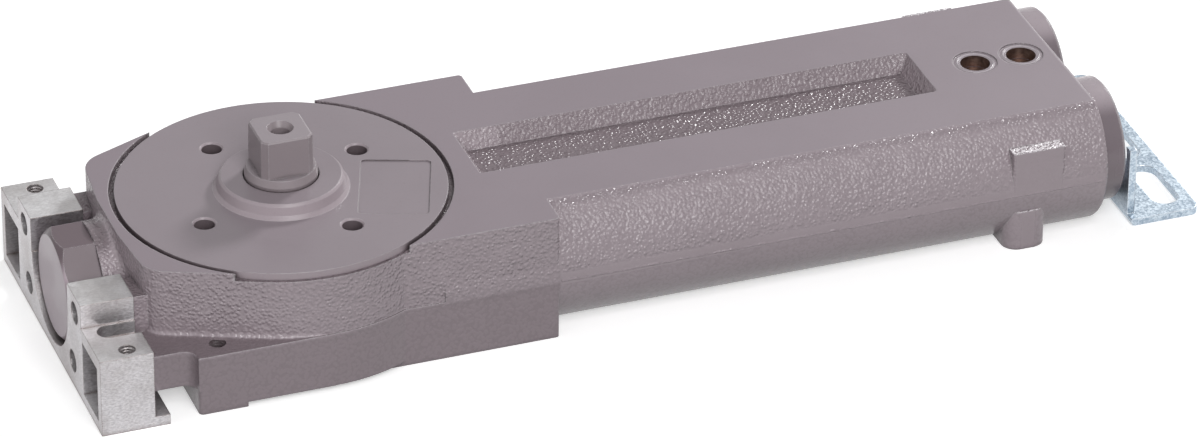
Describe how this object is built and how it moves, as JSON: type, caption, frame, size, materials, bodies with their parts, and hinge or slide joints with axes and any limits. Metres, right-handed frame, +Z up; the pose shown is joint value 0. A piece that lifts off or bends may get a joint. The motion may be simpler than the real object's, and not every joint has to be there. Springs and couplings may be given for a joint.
{
  "type": "concealed door closer",
  "caption": "Concealed hydraulic door closer: flat twin-barrel cast housing, round cover with square spindle, heart-cam mechanism, end fixing brackets.",
  "frame": {"origin": "on the spindle's axis, where it meets the housing's base plane", "axes": "+X along the body from the spindle to the spring plugs, +Y to the far side in the picture, +Z up along the spindle, away from the base"},
  "size_m": [0.2975, 0.0882, 0.0515],
  "materials": {
    "housing_paint": "satin mauve-grey paint over rough casting, machined faces smoother",
    "bracket_aluminium": "speckled light-grey cast aluminium",
    "zinc_sheet": "bluish-white zinc plating",
    "ground_steel": "ground grey steel, lightly oiled",
    "bearing_steel": "polished hardened steel",
    "spring_steel": "dark oiled spring steel",
    "valve_brass": "dull turned brass",
    "seal_rubber": "black nitrile rubber"
  },
  "bodies": {
    "case": {"housing": "housing_paint", "cover_disc": "housing_paint", "cover_seal": "seal_rubber", "lower_bearing": "bearing_steel", "upper_bearing": "bearing_steel", "spindle_seal": "seal_rubber", "closing_spring_near": "spring_steel", "closing_spring_far": "spring_steel", "spring_plug_near": "housing_paint", "spring_plug_far": "housing_paint", "spring_plug_seal_near": "seal_rubber", "spring_plug_seal_far": "seal_rubber", "end_plug": "housing_paint", "end_plug_seal": "seal_rubber", "end_bracket": "bracket_aluminium", "bracket_pins": "spring_steel", "slotted_bracket": "zinc_sheet", "slotted_bracket_screw": "zinc_sheet"},
    "spindle_group": {"spindle": "ground_steel", "cam_key": "ground_steel", "drive_cam": "ground_steel"},
    "carriage": {"carriage_plate_lower": "ground_steel", "carriage_plate_upper": "ground_steel", "drive_roller_pin": "ground_steel", "piston_roller_pin": "ground_steel", "rod_pins": "ground_steel", "push_rod_near": "ground_steel", "push_rod_far": "ground_steel", "spring_seat_near": "ground_steel", "spring_seat_far": "ground_steel", "damping_piston": "ground_steel", "check_ball_retainer": "bearing_steel"},
    "front_roller": {"drive_roller": "bearing_steel"},
    "back_roller": {"piston_roller": "bearing_steel"},
    "valve_ball": {"check_ball": "bearing_steel"},
    "closing_valve": {"closing_valve_screw": "valve_brass", "closing_valve_seal": "seal_rubber"},
    "latching_valve": {"latching_valve_screw": "valve_brass", "latching_valve_seal": "seal_rubber"}
  },
  "joints": [
    {"name": "spindle_turn", "type": "hinge", "parent": "case", "child": "spindle_group", "pos_m": [0, 0, 0.0176], "axis": [0, 0, 1], "range_deg": [0, 105], "stiffness_Nm_per_rad": 2, "springref_deg": -28.65},
    {"name": "carriage_slide", "type": "slide", "parent": "case", "child": "carriage", "axis": [1, 0, 0], "range_m": [0, 0.0083], "deforming": ["closing_spring_near", "closing_spring_far"]},
    {"name": "drive_roller_spin", "type": "hinge", "parent": "carriage", "child": "front_roller", "pos_m": [0.016, 0, 0.0176], "axis": [0, 0, 1], "continuous": true},
    {"name": "piston_roller_spin", "type": "hinge", "parent": "carriage", "child": "back_roller", "pos_m": [-0.03014, 0, 0.0176], "axis": [0, 0, 1], "continuous": true},
    {"name": "check_ball_lift", "type": "slide", "parent": "carriage", "child": "valve_ball", "axis": [1, 0, 0], "range_m": [0, 0.0008]},
    {"name": "closing_valve_turn", "type": "hinge", "parent": "case", "child": "closing_valve", "pos_m": [0.1879, 0, 0.027], "axis": [0, 0, 1], "range_deg": [-360, 360]},
    {"name": "latching_valve_turn", "type": "hinge", "parent": "case", "child": "latching_valve", "pos_m": [0.2007, 0, 0.027], "axis": [0, 0, 1], "range_deg": [-360, 360]}
  ],
  "couplings": [
    {"joint": "carriage_slide", "follows": "spindle_turn", "m_per_rad": 0.0045}
  ]
}
